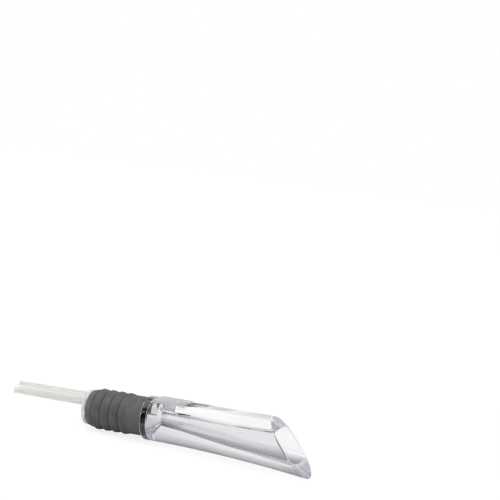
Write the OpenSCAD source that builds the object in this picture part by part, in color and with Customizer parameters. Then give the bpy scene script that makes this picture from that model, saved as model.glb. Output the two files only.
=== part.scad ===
// Wine aerator pourer: a clear venturi spout on a ribbed bottle stopper with a long vent tube.
// X runs along the stopper's axis towards the mouth, Z is up, and the air scoop is on top.
// The origin is on the stopper's axis, at the front edge of the last rib, where the bottle's lip lies.

/* [Stopper] */
// Radius of the rib crests that seal in the bottle's bore
rib_r = 10; // [9.6:0.1:10.4]
// Height of a rib above the sleeve
rib_h = 0.7; // [0.4:0.1:1]
// Length of the flat land on a rib's crest
rib_land = 1; // [0.6:0.1:1.4]
// Length of the slope on each side of a rib
rib_side = 0.9; // [0.5:0.1:1.2]
// Distance from one rib to the next
rib_pitch = 4.9; // [4.2:0.1:6]
// Number of ribs
rib_count = 4; // [3:1:6]
// Length of the plain collar between the bottle's lip and the spout
collar_len = 11; // [8:0.5:16]
// Length of the tapered lead-in at the bottle's end
lead_len = 3.4; // [2:0.1:6]
// How much the lead-in narrows
lead_drop = 0.7; // [0.3:0.1:1]
// Wall of the sleeve between its ribs
sleeve_wall = 1.65; // [1.4:0.05:2]
// Wall of the seal ring between the core's spigot and the spout's rim
seal_wall = 1.8; // [1.5:0.1:2.1]
// Wall of the core round its wine passage
core_wall = 0.8; // [0.6:0.1:1]
// Length of the seal ring and of the core's spigot inside the spout
seal_len = 2.7; // [2:0.1:4]

/* [Nose cap] */
// Thickness of the flange that holds the sleeve on
nose_t = 2.2; // [1.2:0.1:3]
// Rounding of the flange's outer edge
nose_round = 0.8; // [0.3:0.1:0.9]
// Wall of the collar that sits in the core's wine passage
nose_collar_wall = 0.6; // [0.5:0.1:0.9]
// Length of that collar
nose_collar_len = 4; // [2:0.5:8]

/* [Vent] */
// Length of the vent tube outside the nose cap
tube_len = 43.6; // [25:0.1:80]
// Outer radius of the tube at its tip
tube_tip_r = 3.35; // [3:0.05:3.6]
// Outer radius of the tube at its base
tube_base_r = 3.5; // [3.2:0.05:3.7]
// Radius of the tube's bore
tube_bore_r = 2; // [1.4:0.1:2.1]
// Radius of the plug that pushes into the core
tube_plug_r = 2.75; // [2.5:0.05:2.9]
// Length of the plug inside the core
tube_plug_len = 14; // [8:0.5:17]
// Fillet where the tube meets the nose cap
tube_fillet = 1; // [0.4:0.1:1.2]
// Slant of the tube's tip, from square
tip_slant = 27; // [0:1:45]
// Radius of the vent passage through the core and its nipple
vent_bore_r = 1.3; // [1:0.1:1.4]
// Wall of the nipple
nipple_wall = 0.6; // [0.5:0.1:0.7]
// Length of the nipple in front of the core
nipple_len = 1.5; // [1:0.1:2]
// Wall of the soft bush round the nipple
bush_wall = 0.5; // [0.4:0.1:0.6]
// Wall of the spout's socket for that bush
socket_wall = 0.6; // [0.5:0.1:0.8]

/* [Spout] */
// Outer radius of the spout
spout_r = 10.4; // [10:0.1:11]
// Length from the rear rim to the lip
spout_len = 84; // [70:1:100]
// Fall of the underside from the rear rim to the lip; the top line stays level
lip_drop = 5; // [3:0.1:7]
// Height of the spout's flat sides at the rear rim
side_flat = 0.4; // [0.2:0.1:1]
// Slant of the mouth from upright, in degrees
mouth_tilt = 38; // [25:1:45]
// Wall of the rim round the seal ring
rim_wall = 1; // [0.8:0.1:1.1]

/* [Channel] */
// Distance of the throat from the rear rim
throat_at = 8.6; // [8.4:0.1:12]
// Length of the throat
throat_len = 1; // [0.6:0.1:2]
// Radius of the throat
throat_r = 2.6; // [2:0.1:3]
// Step out from the throat to the start of the channel's cone
throat_step = 0.1; // [0.05:0.05:0.3]
// Height of the throat's axis above the stopper's axis
throat_z = 0.5; // [0.2:0.1:0.9]
// How much wider the funnel's wide end is than the core's wine passage
funnel_ease = 1.2; // [0.4:0.1:1.4]
// Wall beside the channel at the lip
mouth_wall = 2.6; // [2.2:0.1:3.2]
// Wall under the channel at the lip
lip_wall = 4.4; // [3.4:0.1:5]

/* [Air duct] */
// Width of the duct
duct_w = 5; // [4:0.1:6]
// Depth of the duct's floor below the spout's top line
duct_depth = 2.8; // [2.4:0.1:2.9]
// Distance of the duct's rear end from the rear rim
duct_start = 4.6; // [4.4:0.1:4.8]
// Length of the cover pad
pad_len = 17.2; // [15:0.1:22]
// Width of the cover pad
pad_w = 11; // [9:0.1:11.4]
// Thickness of the cover pad
pad_t = 1.2; // [0.9:0.1:1.3]
// Depth of the pad's top below the spout's top line
pad_drop = 0.4; // [0.2:0.1:0.5]
// Rounding of the pad's front corners
pad_corner = 1.2; // [0.4:0.1:2]
// Distance of the pad from the rear rim
pad_start = 3.8; // [3.6:0.1:4]
// Distance of the flat in front of the rear rim, which carries the pad's top line on
flat_start = 0.6; // [0.4:0.1:1.2]
// Length of the scoop in front of the pad
scoop_len = 12.8; // [9:0.1:15]
// Length of the air pocket under the duct's floor
pocket_len = 6.8; // [4:0.1:9]
// Width of the air pocket
pocket_w = 4; // [3:0.1:4.6]
// Wall between the air pocket and the throat
pocket_wall = 0.8; // [0.6:0.1:1.2]
// Radius of the air hole from the pocket to the channel
air_hole_r = 0.5; // [0.3:0.05:0.8]
// Distance of the air hole from the rear rim
air_hole_at = 14.4; // [13:0.1:18]
// Radius of the riser from the duct to the vent
riser_r = 0.9; // [0.7:0.1:1]
// Distance of the riser from the duct's rear end
riser_gap = 0.25; // [0.1:0.05:0.4]

/* [Fits] */
// Gap round pieces that push together by hand
fit_gap = 0.05; // [0.03:0.01:0.1]
// Gap in a bonded seam
bond_gap = 0.05; // [0.03:0.01:0.1]
// Gap between end faces that butt together
face_gap = 0.15; // [0.1:0.01:0.3]

/* [Hidden] */
// Sides of a drawn circle, and of the large circle of the spout's underside
round_n = 96;
bend_n = 1440;
$fn = round_n;
// Side of a block that is larger than the whole pourer
block = 400;
// Overrun of a cut past the face that it opens
over = 1;

// Stopper
rim_bore_r = spout_r - rim_wall;
seal_r = rim_bore_r - fit_gap;
seal_bore_r = seal_r - seal_wall;
sleeve_r = rib_r - rib_h;
sleeve_bore_r = sleeve_r - sleeve_wall;
lead_r = sleeve_r - lead_drop;
sleeve_front = collar_len - face_gap;
sleeve_rear = -(rib_count - 1) * rib_pitch - rib_land - rib_side - lead_len;
spout_rear = collar_len;
nose_face = sleeve_rear - nose_t;
// The core fills the sleeve, and its spigot fills the seal ring
core_r = sleeve_bore_r - fit_gap;
spigot_r = seal_bore_r - fit_gap;
core_front = spout_rear + seal_len;
// The wine passage lies a wall inside the narrower of the two
passage_r = min(core_r, spigot_r) - core_wall;
tube_socket_r = tube_plug_r + fit_gap;
// Height of the vent's axis: its socket lies as far out as the wine passage
vent_z = passage_r - tube_socket_r;
// Top of the wine passage, a wall below the tube's socket
passage_top = vent_z - tube_socket_r - core_wall;

// Vent
nipple_r = vent_bore_r + nipple_wall;
nipple_end = core_front + nipple_len;
bush_bore_r = nipple_r + bond_gap;
bush_r = bush_bore_r + bush_wall;
tube_shoulder = nose_face - face_gap;
tip_x = nose_face - tube_len;

// Spout
rim_bore_len = seal_len + face_gap;
lip_x = spout_rear + spout_len;
lip_z = -spout_r - side_flat - lip_drop;
form_end = lip_x + spout_r;
// The underside's arc, whose centre lies far below the rear rim
bend_x = spout_rear - over;
bend_run = spout_len + over;
under_r = (bend_run * bend_run + lip_drop * lip_drop) / (2 * lip_drop);
bend_r = under_r + spout_r;
bend_z = -side_flat - bend_r;
bend_angle = asin((bend_run + spout_r) / under_r);
// How far the bent half reaches up between the flat sides
bend_lap = side_flat / 2;

// Channel
seat_x = spout_rear + rim_bore_len;
throat_start = spout_rear + throat_at - throat_len / 2;
throat_end = throat_start + throat_len;
funnel_r = passage_r + funnel_ease;
funnel_slope = (funnel_r - throat_r) / (throat_start - seat_x);
// The channel's cone ends above the lip, a wall inside the spout
mouth_r = spout_r - mouth_wall;
mouth_z = lip_z + lip_wall + mouth_r;
cone_start = spout_rear + throat_at;
cone_r = throat_r + throat_step;
cone_tilt = atan((throat_z - mouth_z) / (lip_x - cone_start));
cone_len = norm([lip_x - cone_start, throat_z - mouth_z]);
cone_gain = (mouth_r - cone_r) / cone_len;

// Air duct
duct_floor = spout_r - duct_depth;
duct_rear = spout_rear + duct_start;
pad_rear = spout_rear + pad_start;
pad_front = pad_rear + pad_len;
pad_top = spout_r - pad_drop;
pad_seat = pad_top - pad_t;
scoop_end = pad_front + scoop_len;
riser_x = duct_rear + riser_gap + riser_r;
socket_r = bush_r + fit_gap;
socket_skin_r = socket_r + socket_wall;
socket_end = riser_x + riser_r;
air_hole_x = spout_rear + air_hole_at;
pocket_front = air_hole_x + 2 * air_hole_r;
pocket_floor = throat_z + cone_r + pocket_wall;

// Round bar along X from one station to another
module bar(x0, x1, r, z = 0) {
    translate([x0, 0, z]) rotate([0, 90, 0]) cylinder(h = x1 - x0, r = r);
}

// Cone along X from one station to another
module taper(x0, x1, r0, r1, z = 0) {
    translate([x0, 0, z]) rotate([0, 90, 0]) cylinder(h = x1 - x0, r1 = r0, r2 = r1);
}

// Upright round bar
module post(x, z0, z1, r) {
    translate([x, 0, z0]) cylinder(h = z1 - z0, r = r);
}

// Outline across the stopper, drawn in Y and Z, extruded along X
module across(x0, x1) {
    translate([x0, 0, 0]) rotate([90, 0, 90]) linear_extrude(x1 - x0) children();
}

// Outline seen from the side, drawn in X and Z, extruded across Y
module side(width) {
    translate([0, width / 2, 0]) rotate([90, 0, 0]) linear_extrude(width) children();
}

// Everything in front of a station on the axis
module ahead_of(x) {
    translate([x, -block / 2, -block / 2]) cube(block);
}

// Everything behind the mouth's plane
module behind_mouth() {
    translate([lip_x, 0, lip_z]) rotate([0, -mouth_tilt, 0])
        translate([-block, -block / 2, -block / 2]) cube(block);
}

// The lower part of the core's inside, which carries the wine
module wine_passage(inset) {
    intersection() {
        circle(r = passage_r - inset);
        translate([-block / 2, passage_top - inset - block]) square(block);
    }
}

// Upper half of a disc on a foot as wide as the disc
module arch(r, foot) {
    intersection() {
        circle(r = r, $fn = round_n);
        translate([-block / 2, 0]) square(block);
    }
    translate([-r, -foot]) square([2 * r, foot]);
}

// The spout's outside: straight above, flat at the sides, bent below
module spout_form() {
    difference() {
        across(bend_x, form_end) arch(spout_r, side_flat + 2 * lip_drop);
        side(block) translate([bend_x, bend_z]) circle(r = bend_r + bend_lap / 2, $fn = bend_n);
    }
    translate([bend_x, 0, bend_z]) rotate([-90, -90, 0]) rotate_extrude(angle = bend_angle, $fn = bend_n)
        translate([bend_r, 0]) rotate(90) arch(spout_r, bend_lap);
}

// The channel's cone from the throat out past the mouth
module channel_cone() {
    length = cone_len + mouth_r;
    translate([cone_start, 0, throat_z]) rotate([0, 90 + cone_tilt, 0])
        cylinder(h = length, r1 = cone_r, r2 = cone_r + length * cone_gain);
}

// The funnel from the stopper to the throat
module funnel() {
    taper(seat_x - over, throat_start, funnel_r + over * funnel_slope, throat_r, throat_z);
}

// Groove of the duct, with the scoop's ramp at its front end
module duct_groove() {
    top = spout_r + over;
    ramp = (spout_r - duct_floor) / scoop_len;
    side(duct_w)
        polygon([[duct_rear, duct_floor], [pad_front, duct_floor],
                 [scoop_end + over, spout_r + over * ramp], [scoop_end + over, top], [duct_rear, top]]);
}

// Plan of the pad from a station to its rounded front end
module pad_plan(rear, grow) {
    front = pad_front + grow;
    width = pad_w + 2 * grow;
    translate([rear, -width / 2]) square([front - pad_corner - rear, width]);
    translate([rear, -width / 2 + pad_corner]) square([front - rear, width - 2 * pad_corner]);
    for (y = [-1, 1])
        translate([front - pad_corner, y * (width / 2 - pad_corner)]) circle(r = pad_corner);
}

// The spout with the seat of its seal ring and its wine channel
module spout_channel() {
    difference() {
        intersection() {
            spout_form();
            ahead_of(spout_rear);
            behind_mouth();
        }
        bar(spout_rear - over, seat_x, rim_bore_r);
        funnel();
        bar(throat_start - over / 2, throat_end, throat_r, throat_z);
        channel_cone();
    }
}

module spout_body() {
    color([0.86, 0.88, 0.9, 0.35])
    difference() {
        union() {
            spout_channel();
            // Socket of the vent bush, which crosses the funnel
            bar(seat_x, socket_end + socket_wall, socket_skin_r, vent_z);
        }
        bar(seat_x - over, socket_end, socket_r, vent_z);
        post(riser_x, vent_z, duct_floor + over, riser_r);
        duct_groove();
        translate([0, 0, pad_top]) linear_extrude(over) pad_plan(spout_rear + flat_start, bond_gap);
        translate([0, 0, pad_seat]) linear_extrude(pad_t + over) pad_plan(pad_rear, bond_gap);
        translate([pocket_front - pocket_len, -pocket_w / 2, pocket_floor])
            cube([pocket_len, pocket_w, duct_floor + over - pocket_floor]);
        post(air_hole_x, throat_z, duct_floor, air_hole_r);
    }
}

module air_duct_cover() {
    color([0.8, 0.82, 0.85, 0.5])
    translate([0, 0, pad_seat + bond_gap]) linear_extrude(pad_t - bond_gap)
        pad_plan(pad_rear + bond_gap, 0);
}

module seal_ring() {
    color([0.04, 0.04, 0.04])
    difference() {
        bar(sleeve_front, core_front, seal_r);
        bar(sleeve_front - over, core_front + over, seal_bore_r);
    }
}

module vent_bush() {
    color([0.05, 0.05, 0.05])
    difference() {
        bar(core_front, nipple_end, bush_r, vent_z);
        bar(core_front - over, nipple_end + over, bush_bore_r, vent_z);
    }
}

module stopper_core() {
    color([0.05, 0.05, 0.05])
    difference() {
        union() {
            bar(sleeve_rear, sleeve_front, core_r);
            bar(sleeve_front, core_front, spigot_r);
            bar(core_front - over, nipple_end, nipple_r, vent_z);
        }
        across(sleeve_rear - over, core_front + over) wine_passage(0);
        bar(sleeve_rear - over, sleeve_rear + tube_plug_len + face_gap, tube_socket_r, vent_z);
        bar(sleeve_rear, nipple_end + over, vent_bore_r, vent_z);
    }
}

module stopper_sleeve() {
    color([0.3, 0.3, 0.29])
    difference() {
        union() {
            bar(sleeve_rear + lead_len, sleeve_front, sleeve_r);
            taper(sleeve_rear, sleeve_rear + lead_len, lead_r, sleeve_r);
            for (i = [0 : rib_count - 1]) {
                front = -i * rib_pitch;
                bar(front - rib_land, front, rib_r);
                taper(front, front + rib_side, rib_r, sleeve_r);
                taper(front - rib_land - rib_side, front - rib_land, sleeve_r, rib_r);
            }
        }
        bar(sleeve_rear - over, sleeve_front + over, sleeve_bore_r);
    }
}

module nose_cap() {
    color([0.86, 0.88, 0.88, 0.5])
    difference() {
        union() {
            translate([sleeve_rear, 0, 0]) rotate([0, -90, 0]) rotate_extrude() {
                square([lead_r - nose_round, nose_t]);
                square([lead_r, nose_t - nose_round]);
                translate([lead_r - nose_round, nose_t - nose_round]) circle(r = nose_round);
            }
            across(sleeve_rear - over / 2, sleeve_rear + nose_collar_len) wine_passage(bond_gap);
        }
        across(nose_face - over, sleeve_rear + nose_collar_len + over)
            wine_passage(bond_gap + nose_collar_wall);
        bar(nose_face - over, sleeve_rear + over, tube_socket_r, vent_z);
    }
}

module vent_tube() {
    plug_end = sleeve_rear + tube_plug_len;
    color([0.88, 0.91, 0.89, 0.6])
    difference() {
        union() {
            taper(tip_x, tube_shoulder, tube_tip_r, tube_base_r, vent_z);
            bar(tube_shoulder - over, plug_end, tube_plug_r, vent_z);
            // Hollow fillet that spreads the tube's base over the nose cap
            translate([tube_shoulder, 0, vent_z]) rotate([0, -90, 0]) rotate_extrude()
                difference() {
                    square([tube_base_r + tube_fillet, tube_fillet]);
                    translate([tube_base_r + tube_fillet, tube_fillet]) circle(r = tube_fillet);
                }
        }
        bar(tip_x - over, plug_end + over, tube_bore_r, vent_z);
        // The tip's slant, with its long side below
        translate([tip_x, 0, vent_z - tube_tip_r]) rotate([0, tip_slant, 0])
            translate([-block, -block / 2, -block / 2]) cube(block);
    }
}

spout_body();
air_duct_cover();
seal_ring();
vent_bush();
stopper_core();
stopper_sleeve();
nose_cap();
vent_tube();
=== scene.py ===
"""Looks of a wine aerator pourer: a thick clear spout, a ribbed grey stopper and a milky vent tube.

Lengths are in millimetres in the CAD frame until a mesh is made, where MM turns them into metres.
U is the distance along the spout from its rear rim.
"""
import math

import bmesh
import bpy
from mathutils import Matrix, Vector


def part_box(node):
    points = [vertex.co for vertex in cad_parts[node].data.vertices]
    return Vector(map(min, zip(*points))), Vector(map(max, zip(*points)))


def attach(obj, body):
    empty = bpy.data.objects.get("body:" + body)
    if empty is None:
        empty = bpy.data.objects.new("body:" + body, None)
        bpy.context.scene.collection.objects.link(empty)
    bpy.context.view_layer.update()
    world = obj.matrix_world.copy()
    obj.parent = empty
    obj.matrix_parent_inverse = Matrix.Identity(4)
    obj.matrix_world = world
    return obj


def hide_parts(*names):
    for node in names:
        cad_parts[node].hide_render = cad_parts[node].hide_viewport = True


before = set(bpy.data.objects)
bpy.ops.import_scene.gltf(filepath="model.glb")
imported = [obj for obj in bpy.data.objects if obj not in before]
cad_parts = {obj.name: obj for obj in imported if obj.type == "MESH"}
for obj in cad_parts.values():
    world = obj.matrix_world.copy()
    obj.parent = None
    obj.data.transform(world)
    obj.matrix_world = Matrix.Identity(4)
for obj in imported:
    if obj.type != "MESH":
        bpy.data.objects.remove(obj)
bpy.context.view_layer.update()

MM = 0.001


def node_box(name):
    """Lowest and highest corner of a CAD node, in millimetres."""
    low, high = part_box(name)
    return [v / MM for v in low], [v / MM for v in high]


# Spout
BODY_LOW, BODY_HIGH = node_box("spout_body")
SPOUT_REAR = BODY_LOW[0]
SPOUT_LEN = BODY_HIGH[0] - SPOUT_REAR
SPOUT_R = BODY_HIGH[2]
LIP_Z = BODY_LOW[2]
SIDE_FLAT = 0.4
BEND_LEAD = 1.0
LIP_DROP = -LIP_Z - SPOUT_R - SIDE_FLAT
UNDER_R = ((SPOUT_LEN + BEND_LEAD) ** 2 + LIP_DROP ** 2) / (2 * LIP_DROP)
MOUTH_TILT = math.radians(38)
RIM_BORE_R = 9.4
SEAT_U = 2.85
LIP_ROUND = 0.5
BORE_ROUND = 0.3
EDGE_ROUND = 0.25

# Channel: a funnel, a round throat, and a bore that widens to a flat roof and floor at the mouth
FUNNEL_R = 8.5
THROAT_R = 2.6
THROAT_Z = 0.5
THROAT_U = 9.1
MOUTH_WALL = 1.1
MOUTH_MIDDLE = -3.2
MOUTH_ROOF = 4.9
MOUTH_FLOOR = -8.8
MOUTH_STATION = 0.92 * SPOUT_LEN
CORNER_POWER = 14

# Air duct, pocket and vent socket
PAD_LOW, PAD_HIGH = node_box("air_duct_cover")
PAD_TOP, PAD_SEAT = PAD_HIGH[2], PAD_LOW[2]
PAD_HALF = PAD_HIGH[1]
PAD_REAR, PAD_FRONT = PAD_LOW[0] - SPOUT_REAR, PAD_HIGH[0] - SPOUT_REAR
PAD_CORNER = 1.2
PAD_ROUND = 0.35
FLAT_START = 0.6
SEAM = 0.05
DUCT_HALF = 2.5
DUCT_FLOOR = 7.6
DUCT_REAR = 4.6
SCOOP_END = 33.8
POCKET_REAR, POCKET_FRONT = 8.6, 15.4
POCKET_HALF = 2.0
POCKET_FLOOR = 4.0
AIR_HOLE_U, AIR_HOLE_R = 14.4, 0.5
RISER_U, RISER_R = 5.75, 0.9
SOCKET_R, SOCKET_SKIN_R = 2.5, 3.1
SOCKET_END, SOCKET_WALL = 6.65, 0.6
# How far a cutting solid passes the surface that it cuts
BEYOND = 1.0
ABOVE = SPOUT_R + 2 * BEYOND

# Stopper: the ribs are a saw-tooth wave that falls slowly forward and rises steeply
SLEEVE_LOW, SLEEVE_HIGH = node_box("stopper_sleeve")
RIB_R = SLEEVE_HIGH[2]
RIB_H = 0.7
SLEEVE_R = RIB_R - RIB_H
SLEEVE_BORE_R = 7.65
RIB_COUNT = 4
RIB_PITCH = 4.9
RIB_FRONT = -0.5
RIB_REAR = RIB_FRONT - (RIB_COUNT - 1) * RIB_PITCH
RIB_FALL = 0.84
COLLAR_LIFT = 0.15
SLEEVE_EDGE = 0.5
LEAD_LEN, LEAD_DROP, LEAD_POWER = 3.4, 0.7, 1.6
SEAL_BORE_R = 7.55

# Nose cap and vent tube
NOSE_LOW, NOSE_HIGH = node_box("nose_cap")
NOSE_R = NOSE_HIGH[1]
NOSE_ROUND = 0.8
INLET_R, INLET_TOP = 6.05, -0.35
# The inlet's flat top leans by a hair, which keeps its points apart
INLET_LEAN = 1e-3
VENT_Z = 3.9
TUBE_LOW, TUBE_HIGH = node_box("vent_tube")
TUBE_TIP_R, TUBE_BASE_R = 3.35, 3.5
TUBE_BORE_R = 2.0
TUBE_PLUG_R = 2.75
TUBE_GAP = 0.15
TUBE_FILLET = 1.0
TIP_SLANT = math.radians(27)

# Steps on half a ring, along the pieces and round the edges
HALF_STEPS = 64
LONG_STEPS = 72
FUNNEL_STEPS = 16
SLEEVE_STEPS = 220
TUBE_STEPS = 40
ROUND_STEPS = 6
EDGE_STEPS = 4
# Tries after which a point has settled on the mouth's plane
SETTLE_STEPS = 30
SHARP_ANGLE = math.radians(32)
# Points closer than this are joined
WELD = 1e-3
# Slack in a test of where an edge lies
NEAR = 0.01


def steps(count):
    """Fractions from 0 to 1."""
    return [i / count for i in range(count + 1)]


def blend(start, end, share):
    """Value between two others."""
    return start + share * (end - start)


def quarter_turn(angle):
    """Inset from one side and from the other of a point on a rounded edge of radius 1."""
    return 1 - math.cos(angle), 1 - math.sin(angle)


QUARTER = [quarter_turn(math.pi / 2 * k) for k in steps(ROUND_STEPS)]
UPPER = [math.pi * k for k in steps(HALF_STEPS)]
# Cosine, sine and whether the point is on the lower half
ROUND = [(math.cos(a), math.sin(a), False) for a in UPPER]
ROUND += [(-math.cos(a), -math.sin(a), True) for a in UPPER]


def drop_at(u):
    """Fall of the spout's lower half below its upper half."""
    return SIDE_FLAT + UNDER_R - math.sqrt(UNDER_R ** 2 - (u + BEND_LEAD) ** 2)


MOUTH_DROP = drop_at(MOUTH_STATION)


def reach_mouth(height, back):
    """U where a line whose height depends on U meets the mouth's plane, set back by a distance."""
    u = SPOUT_LEN
    for _ in range(SETTLE_STEPS):
        u = SPOUT_LEN - back / math.cos(MOUTH_TILT) - (height(u) - LIP_Z) * math.tan(MOUTH_TILT)
    return u


def form_ring(inset, start, back, t):
    """Ring on the spout's outside, a fraction t of the way from a station to the mouth."""
    r = SPOUT_R - inset
    ring = []
    for c, s, lower in ROUND:
        def height(u):
            return r * s - (drop_at(u) if lower else 0.0)
        u = blend(start, reach_mouth(height, back), t)
        ring.append(Vector((SPOUT_REAR + u, r * c, height(u))))
    return ring


def round_ring(u, r, z=0.0):
    """Circle square to the stopper's axis."""
    return [Vector((SPOUT_REAR + u, r * c, z + r * s)) for c, s, _ in ROUND]


def side_reach(c, s, r):
    """Distance from the mouth's middle to a form of radius r with straight sides, in one direction."""
    for centre, upper in ((0.0, True), (-MOUTH_DROP, False)):
        offset = MOUTH_MIDDLE - centre
        reach = math.sqrt(r * r - (c * offset) ** 2) - s * offset
        if (offset + s * reach > 0) == upper:
            return reach
    return r / abs(c)


def channel_ring(grow, back, t):
    """Ring on the channel, a fraction t of the way from the throat to the mouth."""
    ring = []
    for (c, s, _), start in zip(ROUND, round_ring(THROAT_U, THROAT_R, THROAT_Z)):
        level = MOUTH_ROOF - MOUTH_MIDDLE if s > 0 else MOUTH_MIDDLE - MOUTH_FLOOR
        side = 1 / side_reach(c, s, SPOUT_R - MOUTH_WALL + grow)
        flat = abs(s) / (level + grow)
        reach = (side ** CORNER_POWER + flat ** CORNER_POWER) ** (-1 / CORNER_POWER)
        z = MOUTH_MIDDLE + reach * s
        u = reach_mouth(lambda _: z, back)
        ring.append(blend(start, Vector((SPOUT_REAR + u, reach * c, z)), t))
    return ring


def smooth(piece):
    """Smooth shading that keeps sharp edges."""
    for face in piece.data.polygons:
        face.use_smooth = True
    piece.data.set_sharp_from_angle(angle=SHARP_ANGLE)


def add_mesh(name, build):
    """Object whose mesh a function fills, with its normals outwards and its curves smooth."""
    bm = bmesh.new()
    build(bm)
    bmesh.ops.remove_doubles(bm, verts=bm.verts, dist=WELD * MM)
    bmesh.ops.recalc_face_normals(bm, faces=bm.faces)
    mesh = bpy.data.meshes.new(name)
    bm.to_mesh(mesh)
    bm.free()
    piece = bpy.data.objects.new(name, mesh)
    bpy.context.scene.collection.objects.link(piece)
    smooth(piece)
    return piece


def loft(name, rings, loop=True):
    """Skin over rings, closed round a loop or by a face at each end."""
    def build(bm):
        rows = [[bm.verts.new(p * MM) for p in ring] for ring in rings]
        for row, after in zip(rows, rows[1:] + rows[:1] if loop else rows[1:]):
            for i in range(len(row)):
                j = (i + 1) % len(row)
                bm.faces.new((row[i], row[j], after[j], after[i]))
        if not loop:
            bm.faces.new(rows[0])
            bm.faces.new(rows[-1])
    return add_mesh(name, build)


def turned(profile):
    """Rings about the X axis from points of X and radius."""
    return [[Vector((x, r * c, r * s)) for c, s, _ in ROUND] for x, r in profile]


def bar(name, start, end, r, z):
    """Solid round bar between two values of U."""
    return loft(name, [round_ring(start, r, z), round_ring(end, r, z)], loop=False)


def post(name, u, low, high, r):
    """Solid upright bar."""
    x = SPOUT_REAR + u
    rings = [[Vector((x + r * c, r * s, z)) for c, s, _ in ROUND] for z in (low, high)]
    return loft(name, rings, loop=False)


def prism(name, outline, half):
    """Solid with a side outline in U and Z, reaching the same distance to both sides."""
    sides = [[Vector((SPOUT_REAR + u, y, z)) for u, z in outline] for y in (-half, half)]
    return loft(name, sides, loop=False)


def round_edges(piece, width, segments, wanted):
    """Bevels the edges that a test accepts."""
    bm = bmesh.new()
    bm.from_mesh(piece.data)
    edges = [e for e in bm.edges if wanted(e.verts[0].co / MM, e.verts[1].co / MM)]
    bmesh.ops.bevel(bm, geom=edges, offset=width * MM, segments=segments, profile=0.5, affect="EDGES")
    bm.to_mesh(piece.data)
    bm.free()
    smooth(piece)


def combine(piece, other, operation):
    """Joins another solid to a piece or cuts it out, and removes the other."""
    step = piece.modifiers.new("step", "BOOLEAN")
    step.object = other
    step.operation = operation
    step.solver = "EXACT"
    depsgraph = bpy.context.evaluated_depsgraph_get()
    mesh = bpy.data.meshes.new_from_object(piece.evaluated_get(depsgraph))
    piece.modifiers.clear()
    piece.data = mesh
    bpy.data.objects.remove(other)
    smooth(piece)


def round_front(piece, front):
    """Rounds the two upright corners at a front end."""
    def upright(a, b):
        return min(a.x, b.x) > SPOUT_REAR + front - NEAR and abs(a.y - b.y) < NEAR
    round_edges(piece, PAD_CORNER, ROUND_STEPS, upright)


def spout_rings():
    """Rings over the outside, round the lip, back through the channel and funnel, and round the rim."""
    rings = [form_ring(0, EDGE_ROUND, LIP_ROUND, t) for t in steps(LONG_STEPS)]
    rings += [form_ring(LIP_ROUND * a, 0, LIP_ROUND * b, 1) for a, b in QUARTER[1:]]
    rings += [channel_ring(BORE_ROUND * a, BORE_ROUND * b, 1) for a, b in QUARTER[::-1]]
    rings += [channel_ring(0, BORE_ROUND, 1 - t) for t in steps(LONG_STEPS)[1:]]
    for t in steps(FUNNEL_STEPS)[1:]:
        rings.append(round_ring(blend(THROAT_U, SEAT_U, t), blend(THROAT_R, FUNNEL_R, t), THROAT_Z))
    rings += [round_ring(SEAT_U, RIM_BORE_R), round_ring(EDGE_ROUND, RIM_BORE_R)]
    rings += [round_ring(EDGE_ROUND * b, RIM_BORE_R + EDGE_ROUND * a) for a, b in QUARTER[1:]]
    rings += [form_ring(EDGE_ROUND * a, EDGE_ROUND * b, 0, 0) for a, b in QUARTER[:0:-1]]
    return rings


def make_spout():
    """Thick clear spout with its channel, duct, scoop, air pocket and vent socket."""
    spout = loft("spout_body_clear", spout_rings())
    combine(spout, bar("socket", SEAT_U, SOCKET_END + SOCKET_WALL, SOCKET_SKIN_R, VENT_Z), "UNION")
    combine(spout, bar("socket_bore", 0, SOCKET_END, SOCKET_R, VENT_Z), "DIFFERENCE")

    rear, front, seat = PAD_REAR - SEAM, PAD_FRONT + SEAM, PAD_SEAT - SEAM
    outline = [(FLAT_START, PAD_TOP), (rear, PAD_TOP), (rear, seat), (front, seat), (front, ABOVE),
               (FLAT_START, ABOVE)]
    recess = prism("recess", outline, PAD_HALF + SEAM)
    round_front(recess, front)
    combine(spout, recess, "DIFFERENCE")

    slope = (SPOUT_R - DUCT_FLOOR) / (SCOOP_END - PAD_FRONT)
    end = SCOOP_END + BEYOND
    outline = [(DUCT_REAR, DUCT_FLOOR), (PAD_FRONT, DUCT_FLOOR), (end, SPOUT_R + slope * BEYOND),
               (end, ABOVE), (DUCT_REAR, ABOVE)]
    combine(spout, prism("groove", outline, DUCT_HALF), "DIFFERENCE")

    outline = [(POCKET_REAR, POCKET_FLOOR), (POCKET_FRONT, POCKET_FLOOR), (POCKET_FRONT, PAD_SEAT),
               (POCKET_REAR, PAD_SEAT)]
    combine(spout, prism("pocket", outline, POCKET_HALF), "DIFFERENCE")
    combine(spout, post("air_hole", AIR_HOLE_U, THROAT_Z, DUCT_FLOOR, AIR_HOLE_R), "DIFFERENCE")
    combine(spout, post("riser", RISER_U, VENT_Z, PAD_SEAT, RISER_R), "DIFFERENCE")
    return spout


def make_cover():
    """Clear plate over the duct, with soft edges."""
    outline = [(PAD_REAR, PAD_SEAT), (PAD_FRONT, PAD_SEAT), (PAD_FRONT, PAD_TOP), (PAD_REAR, PAD_TOP)]
    plate = prism("air_duct_cover_clear", outline, PAD_HALF)
    round_front(plate, PAD_FRONT)
    round_edges(plate, PAD_ROUND, EDGE_STEPS, lambda a, b: min(a.z, b.z) > PAD_TOP - NEAR)
    return plate


def soft_profile(corners, radius):
    """Profile with rounded corners, given as X, radius and whether the corner is rounded."""
    out = []
    for i, (x, r, soft) in enumerate(corners):
        here = Vector((x, r))
        if not soft:
            out.append((x, r))
            continue
        before = (Vector(corners[i - 1][:2]) - here).normalized() * radius
        after = (Vector(corners[(i + 1) % len(corners)][:2]) - here).normalized() * radius
        for k in steps(ROUND_STEPS):
            p = here + before * (1 - k) ** 2 + after * k * k
            out.append((p.x, p.y))
    return out


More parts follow.
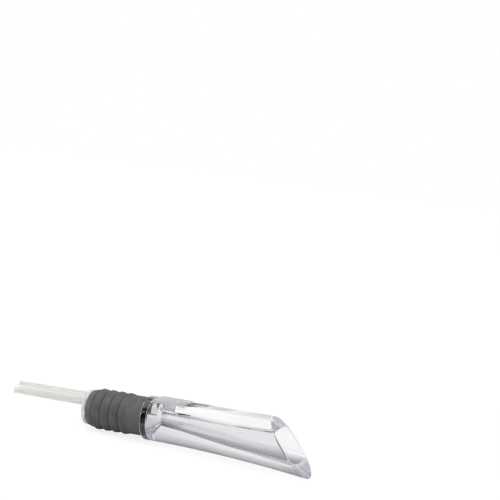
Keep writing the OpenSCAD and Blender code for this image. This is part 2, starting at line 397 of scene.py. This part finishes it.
def half_wave(share):
    """Smooth fall from 1 to 0."""
    return 0.5 + 0.5 * math.cos(math.pi * share)


def sleeve_radius(x):
    """Outer radius of the rubber sleeve with its ribs, collar and lead-in."""
    phase = (x - RIB_REAR) / RIB_PITCH
    place = phase % 1
    last = RIB_COUNT - 1
    if phase < RIB_FALL - 1 or phase > last + RIB_FALL:
        wave = 0.0
    elif place < RIB_FALL:
        wave = half_wave(place / RIB_FALL)
    else:
        wave = 1 - half_wave((place - RIB_FALL) / (1 - RIB_FALL))
    if phase > last:
        wave = max(wave, COLLAR_LIFT)
    lead = max(0.0, (SLEEVE_LOW[0] + LEAD_LEN - x) / LEAD_LEN)
    return SLEEVE_R + RIB_H * wave - LEAD_DROP * lead ** LEAD_POWER


def make_sleeve():
    """Ribbed rubber sleeve with soft ends."""
    rear, front = SLEEVE_LOW[0], SLEEVE_HIGH[0]
    outer = []
    for k in steps(SLEEVE_STEPS):
        x = blend(rear, front, k)
        inside = max(0.0, SLEEVE_EDGE - min(x - rear, front - x))
        outer.append((x, sleeve_radius(x) - SLEEVE_EDGE + math.sqrt(SLEEVE_EDGE ** 2 - inside ** 2)))
    bore = [(front, SLEEVE_BORE_R), (rear, SLEEVE_BORE_R)]
    return loft("stopper_sleeve_rubber", turned(outer + bore))


def make_seal():
    """Black seal ring in the spout's rear rim."""
    low, high = node_box("seal_ring")
    corners = [(low[0], SEAL_BORE_R, False), (low[0], high[1], True), (high[0], high[1], True),
               (high[0], SEAL_BORE_R, False)]
    return loft("seal_ring_rubber", turned(soft_profile(corners, EDGE_ROUND)))


def make_nose():
    """Clear cap on the stopper's end, with the wine inlet and the tube's hole."""
    rear, front = NOSE_LOW[0], SLEEVE_LOW[0] - SEAM
    corners = [(front, 0, False), (front, NOSE_R, True), (rear, NOSE_R, True), (rear, 0, False)]
    cap = loft("nose_cap_clear", turned(soft_profile(corners, NOSE_ROUND)[1:-1]), loop=False)
    span = (rear - BEYOND - SPOUT_REAR, front + BEYOND - SPOUT_REAR)
    combine(cap, bar("tube_hole", *span, TUBE_PLUG_R + SEAM, VENT_Z), "DIFFERENCE")
    section = [(INLET_R * c, min(INLET_R * s, INLET_TOP + INLET_LEAN * c)) for c, s, _ in ROUND]
    inlet = [[Vector((SPOUT_REAR + u, y, z)) for y, z in section] for u in span]
    combine(cap, loft("inlet", inlet, loop=False), "DIFFERENCE")
    return cap


def tube_ring(t, r, start, back=0.0):
    """Ring on the vent tube, a fraction t of the way from a station to its slanted tip."""
    ring = []
    for c, s, _ in ROUND:
        far = TUBE_LOW[0] + back / math.cos(TIP_SLANT) + (r * s + TUBE_TIP_R) * math.tan(TIP_SLANT)
        ring.append(Vector((blend(start, far, t), r * c, VENT_Z + r * s)))
    return ring


def make_tube():
    """Milky vent tube with a slanted tip and a plug."""
    base, end = NOSE_LOW[0] - TUBE_GAP, TUBE_HIGH[0]
    rings = [tube_ring(0, TUBE_BASE_R + TUBE_FILLET * b, base - TUBE_FILLET * a) for a, b in QUARTER]
    for t in steps(TUBE_STEPS)[1:]:
        rings.append(tube_ring(t, blend(TUBE_BASE_R, TUBE_TIP_R, t), base - TUBE_FILLET, EDGE_ROUND))
    rings += [tube_ring(1, TUBE_TIP_R - EDGE_ROUND * a, base, EDGE_ROUND * b) for a, b in QUARTER[1:]]
    rings += [tube_ring(1, TUBE_BORE_R + EDGE_ROUND * a, base, EDGE_ROUND * b) for a, b in QUARTER[::-1]]
    rings += [tube_ring(1 - t, TUBE_BORE_R, end, EDGE_ROUND) for t in steps(TUBE_STEPS)[1:]]
    rings += [tube_ring(0, TUBE_PLUG_R, end), tube_ring(0, TUBE_PLUG_R, base)]
    return loft("vent_tube_milky", rings)


def grey(value):
    """Colour with equal parts."""
    return (value, value, value)


class Graph:
    """Node tree of a material or a world, with short ways to add nodes. Most return a socket."""

    def __init__(self, owner):
        owner.use_nodes = True
        self.nodes = owner.node_tree.nodes
        self.links = owner.node_tree.links

    def fill(self, node, inputs):
        """Links the inputs whose value is a socket, and sets the others."""
        for key, value in inputs.items():
            if isinstance(value, bpy.types.NodeSocket):
                self.links.new(value, node.inputs[key])
            else:
                node.inputs[key].default_value = value

    def add(self, kind, inputs, **settings):
        """New node with its settings and inputs."""
        node = self.nodes.new("ShaderNode" + kind)
        for key, value in settings.items():
            setattr(node, key, value)
        self.fill(node, inputs)
        return node

    def ray(self, kind):
        """What the ray is, such as a camera ray."""
        return self.add("LightPath", {}).outputs[kind]

    def place(self, kind="Object"):
        """Coordinates of the point."""
        return self.add("TexCoord", {}).outputs[kind]

    def calc(self, operation, first, second):
        """Math on two sockets, or on a socket and a number."""
        return self.add("Math", {0: first, 1: second}, operation=operation).outputs["Value"]

    def along(self, place, direction):
        """Distance of a place along a direction."""
        return self.add("VectorMath", {0: place, 1: direction}, operation="DOT_PRODUCT").outputs["Value"]

    def spread(self, source, span, levels):
        """Smooth change from one level to another while a source crosses a span."""
        inputs = {"Value": source, "From Min": span[0], "From Max": span[1],
                  "To Min": levels[0], "To Max": levels[1]}
        return self.add("MapRange", inputs, interpolation_type="SMOOTHSTEP").outputs["Result"]

    def noise(self, scale, detail):
        """Noise over the object, at a scale per metre."""
        inputs = {"Vector": self.place(), "Scale": scale, "Detail": detail}
        return self.add("TexNoise", inputs).outputs["Fac"]

    def ramp(self, source, low, high):
        """Two colours spread over a source, each given with its position."""
        node = self.add("ValToRGB", {"Fac": source})
        for element, (position, color) in zip(node.color_ramp.elements, (low, high)):
            element.position = position
            element.color = (*color, 1)
        return node.outputs["Color"]

    def bump(self, source, height, strength):
        """Fine relief, its height in millimetres."""
        inputs = {"Height": source, "Distance": height * MM, "Strength": strength}
        return self.add("Bump", inputs).outputs["Normal"]

    def occlusion(self, distance, only_local=False):
        """How open the surface is within a distance in metres, from 0 to 1."""
        return self.add("AmbientOcclusion", {"Distance": distance}, only_local=only_local).outputs["AO"]

    def surface(self, first, second, amount):
        """Surface mixed from two shaders."""
        mix = self.add("MixShader", {0: amount, 1: first, 2: second}).outputs["Shader"]
        self.fill(self.nodes["Material Output"], {"Surface": mix})
        return mix


# Materials
ACRYLIC_IOR, RUBBER_IOR = 1.49, 1.5
PALER = 0.02
# Share of the light that passes straight through the plastics
LIGHT_THROUGH = 0.6
# Reach in millimetres and sharpness of the painted shade in the rubber's grooves
GROOVE_SHADE_REACH = 1.5
GROOVE_SHADE_POWER = 7.0
# Painted shade in thick plastic, in place of its dark reflections: its share under the channel, and the
# depths there where it is full and ends
UNDER_SHADE_SHARE = 0.6
UNDER_SHADE_SPAN = (2.5, 0.3)
# Distances behind the mouth's plane where the lip's painted shade starts and is full
LIP_SHADE_SPAN = (6, 4)
# Soft grey for rays that have met many surfaces, coming in between two values of U
DEEP_COLOR = (0.74, 0.74, 0.79)
DEEP_SPAN = (9, 15)
DEEP_SHARE = 0.85
DEEP_BOUNCES = 4.0


def new_material(name):
    """Material with its node tree and its shader."""
    material = bpy.data.materials.new(name)
    graph = Graph(material)
    return material, graph, graph.nodes["Principled BSDF"]


def paint_thick_shade(graph, color, tint):
    """Painted shade where the plastic is thick, in place of its dark reflections: under the channel, and
    most in the lip.
    """
    place = graph.place()
    forward = (math.cos(MOUTH_TILT), 0, math.sin(MOUTH_TILT))
    end = Vector(forward).dot((SPOUT_REAR + SPOUT_LEN, 0, LIP_Z))
    lip_span = [(end - depth) * MM for depth in LIP_SHADE_SPAN]
    lip = graph.spread(graph.along(place, forward), lip_span, (UNDER_SHADE_SHARE, 1.0))
    fall = (THROAT_Z - THROAT_R - MOUTH_FLOOR) / (SPOUT_LEN - THROAT_U)
    level = THROAT_Z - THROAT_R + fall * (SPOUT_REAR + THROAT_U)
    under_span = [(level - depth) * MM for depth in UNDER_SHADE_SPAN]
    under = graph.spread(graph.along(place, (fall, 0, 1)), under_span, (1.0, 0.0))
    amount = graph.calc("MULTIPLY", lip, under)
    # Inputs 6 and 7 and output 2 of the mix node are its colours
    return graph.add("Mix", {0: amount, 6: color, 7: (*tint, 1)}, data_type="RGBA").outputs[2]


def clear_plastic(name, tint, roughness, transmission=1.0, thick_shade=None):
    """Clear moulded plastic with faint waves and handling haze, and painted shade in its thick parts
    when a shade colour is given.
    """
    material, graph, shader = new_material(name)
    paler = tuple(min(1.0, v + PALER) for v in tint)
    color = graph.ramp(graph.noise(scale=90, detail=2), (0.3, tint), (0.7, paler))
    if thick_shade:
        color = paint_thick_shade(graph, color, thick_shade)
    low, high = roughness
    haze = graph.ramp(graph.noise(scale=700, detail=6), (0.35, grey(low)), (0.8, grey(high)))
    waves = graph.bump(graph.noise(scale=160, detail=1), height=0.02, strength=0.3)
    graph.fill(shader, {"Base Color": color, "Roughness": haze, "Normal": waves, "IOR": ACRYLIC_IOR,
                        "Transmission Weight": transmission})
    deep = graph.add("BsdfTranslucent", {"Color": (*DEEP_COLOR, 1)})
    deep_span = [(SPOUT_REAR + u) * MM for u in DEEP_SPAN]
    ahead = graph.spread(graph.along(graph.place(), (1, 0, 0)), deep_span, (0.0, DEEP_SHARE))
    many = graph.calc("GREATER_THAN", graph.ray("Ray Depth"), DEEP_BOUNCES)
    share = graph.calc("MULTIPLY", many, ahead)
    body = graph.surface(shader.outputs["BSDF"], deep.outputs["BSDF"], share)
    straight = graph.add("BsdfTransparent", {})
    light = graph.calc("MAXIMUM", graph.ray("Is Shadow Ray"), graph.ray("Is Diffuse Ray"))
    graph.surface(body, straight.outputs["BSDF"], graph.calc("MULTIPLY", light, LIGHT_THROUGH))
    return material


def rubber(name, dark, pale, roughness, grain, gloss=0.35):
    """Matt moulded rubber with a fine grain and slight mottling, and painted shade in its grooves."""
    material, graph, shader = new_material(name)
    color = graph.ramp(graph.noise(scale=240, detail=5), (0.3, dark), (0.72, pale))
    # Painted shade: the colour is darkened by occlusion in the grooves between the ribs
    groove = graph.occlusion(GROOVE_SHADE_REACH * MM, only_local=True)
    value = graph.calc("POWER", groove, GROOVE_SHADE_POWER)
    shaded = graph.add("HueSaturation", {"Color": color, "Value": value})
    low, high = roughness
    worn = graph.ramp(graph.noise(scale=1500, detail=4), (0.3, grey(low)), (0.75, grey(high)))
    relief = graph.bump(graph.noise(scale=5200, detail=4), height=grain, strength=0.5)
    graph.fill(shader, {"Base Color": shaded.outputs["Color"], "Roughness": worn, "Normal": relief,
                        "IOR": RUBBER_IOR, "Specular IOR Level": gloss})
    return material


def dress(piece, material):
    """Gives a piece or a CAD node one material."""
    piece.data.materials.clear()
    piece.data.materials.append(material)


# The spout gets painted lilac-grey shade in its lip and under its channel
CLEAR = clear_plastic("clear_acrylic", (0.885, 0.89, 0.895), (0.01, 0.03), thick_shade=(0.45, 0.45, 0.53))
NOSE = clear_plastic("nose_acrylic", grey(0.9), (0.1, 0.2), transmission=0.55)
FROSTED = clear_plastic("frosted_acrylic", (0.72, 0.72, 0.74), (0.15, 0.25), transmission=0.8)
MILKY = clear_plastic("milky_plastic", (0.86, 0.875, 0.845), (0.15, 0.25), transmission=0.75)
GREY = rubber("grey_rubber", (0.08, 0.08, 0.078), (0.115, 0.115, 0.112), (0.5, 0.68), grain=0.03)
BLACK = rubber("black_rubber", grey(0.002), grey(0.004), (0.4, 0.6), grain=0.02, gloss=0.03)
# Painted shade: near-black for the stopper core, in place of the shade in the spout's rear socket
CORE_SHADE_BLACK = rubber("core_painted_shade", grey(0.002), grey(0.004), (0.3, 0.45), grain=0.01, gloss=0.03)

made = [
    (make_spout(), "spout", "spout_body", "clear_plastic", CLEAR),
    (make_cover(), "spout", "air_duct_cover", "clear_plastic", FROSTED),
    (make_sleeve(), "stopper", "stopper_sleeve", "grey_rubber", GREY),
    (make_seal(), "stopper", "seal_ring", "black_rubber", BLACK),
    (make_nose(), "stopper", "nose_cap", "clear_plastic", NOSE),
    (make_tube(), "vent_tube", "vent_tube", "milky_plastic", MILKY),
]
for piece, body, node, slot, material in made:
    dress(piece, material)
    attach(piece, body)
    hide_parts(node)
dress(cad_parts["vent_bush"], BLACK)
# The stopper core is dressed near-black as painted shade
dress(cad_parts["stopper_core"], CORE_SHADE_BLACK)

# Stage: the pourer lies on its lip and its rearmost rib
REST_RIB = Vector((RIB_REAR, 0, -RIB_R))
REST_LIP = Vector((SPOUT_REAR + SPOUT_LEN, 0, LIP_Z))
FLOOR_TILT = math.atan2(REST_RIB.z - REST_LIP.z, REST_LIP.x - REST_RIB.x)
FLOOR_SIZE = 3.0
FLOOR_CELLS = 8
FLOOR_COLOR = 0.75
FLOOR_ROUGHNESS = 0.9
# The floor's own white near the part and far away, its share, and the distances in metres between them
FLOOR_GLOW, FAR_GLOW = 1.15, 1.28
FLOOR_SHARE = 0.72
FAR_EDGE = (0.15, 0.6)
# Plastic and gloss see the room and the floor darker towards one side, and the ceiling darker
DARK_SIDE = (0.37, -0.93, 0.09)
DARK_EDGE = (0.1, 0.7)
FLOOR_EDGE = (0.01, 0.03)
DARK_LEVEL, GLOSS_LEVEL = 0.35, 0.05
CEILING_EDGE = (0.2, 0.95)
CEILING_LEVEL = 0.4
# The room's light on matt surfaces
ROOM_LIGHT = 0.4
# Reach in metres of the painted shade on the floor's glow round the part, and under the clear spout
# ahead of these U
CONTACT, CLEAR_CONTACT = 0.03, 0.006
CLEAR_START = (4, 12)


def seen_rays(graph):
    """One for rays that show the background: from the eye, from gloss and through plastic."""
    other = graph.calc("MAXIMUM", graph.ray("Is Glossy Ray"), graph.ray("Is Transmission Ray"))
    return graph.calc("MAXIMUM", graph.ray("Is Camera Ray"), other)


def dim_front(graph, place, span):
    """Level of the white room or floor towards the dark side, lowest for gloss."""
    extra = graph.calc("MULTIPLY", graph.ray("Is Glossy Ray"), GLOSS_LEVEL - DARK_LEVEL)
    change = graph.calc("ADD", extra, DARK_LEVEL - 1.0)
    side = graph.spread(graph.along(place, DARK_SIDE), span, (0.0, 1.0))
    return graph.calc("ADD", graph.calc("MULTIPLY", side, change), 1.0)


def make_floor():
    """White floor under the part with a soft shadow, partly from the lamps and partly painted on its
    glow by occlusion.
    """
    def build(bm):
        bmesh.ops.create_grid(bm, x_segments=FLOOR_CELLS, y_segments=FLOOR_CELLS, size=FLOOR_SIZE)
    floor = add_mesh("floor", build)
    middle = (REST_RIB + REST_LIP) / 2 - Vector((0, 0, SEAM))
    floor.matrix_world = Matrix.Translation(middle * MM) @ Matrix.Rotation(FLOOR_TILT, 4, "Y")

    material, graph, shader = new_material("floor_white")
    graph.fill(shader, {"Base Color": (*grey(FLOOR_COLOR), 1), "Roughness": FLOOR_ROUGHNESS,
                        "Specular IOR Level": 0.0})
    place = graph.place()
    # Painted shade on the floor's glow: darker by occlusion round the part and towards the dark side
    painted_contact_shade = graph.calc("MULTIPLY", graph.occlusion(CONTACT), dim_front(graph, place, FLOOR_EDGE))
    clear_span = [(SPOUT_REAR + u - middle.x) * MM for u in CLEAR_START]
    ahead = graph.spread(graph.along(place, (1, 0, 0)), clear_span, (0.0, 1.0))
    through = graph.calc("MULTIPLY", ahead, graph.ray("Is Transmission Ray"))
    painted_clear_shade = graph.calc("MULTIPLY", graph.occlusion(CLEAR_CONTACT), through)
    shade = graph.calc("MAXIMUM", painted_contact_shade, painted_clear_shade)
    shade = graph.calc("MAXIMUM", shade, graph.ray("Is Camera Ray"))
    away = graph.add("VectorMath", {0: place}, operation="LENGTH").outputs["Value"]
    level = graph.spread(away, FAR_EDGE, (FLOOR_GLOW, FAR_GLOW))
    glow = graph.add("Emission", {"Strength": graph.calc("MULTIPLY", shade, level)})
    share = graph.calc("MULTIPLY", seen_rays(graph), FLOOR_SHARE)
    graph.surface(shader.outputs["BSDF"], glow.outputs["Emission"], share)
    dress(floor, material)


def make_world():
    """White room for the eye, with dark sides for gloss and plastic and a dimmer light for the rest."""
    world = bpy.data.worlds.new("studio")
    bpy.context.scene.world = world
    graph = Graph(world)
    place = graph.place("Generated")
    top = graph.spread(graph.along(place, (0, 0, 1)), CEILING_EDGE, (1.0, CEILING_LEVEL))
    room = graph.calc("MULTIPLY", dim_front(graph, place, DARK_EDGE), top)
    seen = seen_rays(graph)
    shown = graph.calc("MULTIPLY", graph.calc("MAXIMUM", room, graph.ray("Is Camera Ray")), seen)
    unseen = graph.calc("ADD", graph.calc("MULTIPLY", seen, -ROOM_LIGHT), ROOM_LIGHT)
    strength = graph.calc("ADD", shown, unseen)
    graph.fill(graph.nodes["Background"], {"Color": (1, 1, 1, 1), "Strength": strength})


def make_lamp(name, place, aim, size, power_w):
    """Soft lamp that looks at a point, in metres and watts. It doesn't show through plastic."""
    data = bpy.data.lights.new(name, "AREA")
    data.shape = "RECTANGLE"
    data.size, data.size_y = size
    data.energy = power_w
    lamp = bpy.data.objects.new(name, data)
    lamp.location = place
    lamp.visible_transmission = False
    lamp.rotation_mode = "QUATERNION"
    lamp.rotation_quaternion = (Vector(aim) - Vector(place)).to_track_quat("-Z", "Y")
    bpy.context.scene.collection.objects.link(lamp)


# Camera, fitted to the photograph
FOCAL_PX = 1100
FRAME_PX = 500
SENSOR = 36.0
CLIP_M = (0.01, 20)
AZIMUTH = math.radians(21.741)
ELEVATION = math.radians(5.005)
ROLL = math.radians(4.013)
DISTANCE = 533.299
SHIFT_X, SHIFT_Y = -100.944, 166.942


def make_camera():
    """Camera at the photograph's place."""
    flat = math.cos(ELEVATION)
    back = Vector((math.sin(AZIMUTH) * flat, -math.cos(AZIMUTH) * flat, math.sin(ELEVATION)))
    right = Vector((math.cos(AZIMUTH), math.sin(AZIMUTH), 0))
    up = back.cross(right)
    across = math.cos(ROLL) * right + math.sin(ROLL) * up
    upright = math.cos(ROLL) * up - math.sin(ROLL) * right
    aim = Vector((SPOUT_REAR, 0, 0))
    place = aim + DISTANCE * (back - across * SHIFT_X / FOCAL_PX + upright * SHIFT_Y / FOCAL_PX)
    turn = Matrix((across, upright, back)).transposed().to_4x4()
    data = bpy.data.cameras.new("camera")
    data.sensor_width = SENSOR
    data.lens = SENSOR * FOCAL_PX / FRAME_PX
    data.clip_start, data.clip_end = CLIP_M
    camera = bpy.data.objects.new("camera", data)
    camera.matrix_world = Matrix.Translation(place * MM) @ turn
    bpy.context.scene.collection.objects.link(camera)
    bpy.context.scene.camera = camera


make_floor()
make_world()
make_lamp("top_soft", place=(0.0, -0.15, 1.2), aim=(0.03, 0, 0), size=(1.6, 1.2), power_w=12)
make_lamp("side_soft", place=(-0.7, -0.6, 0.4), aim=(0, 0, 0), size=(0.6, 0.5), power_w=3.5)
make_camera()
bpy.context.scene.view_settings.view_transform = "Standard"
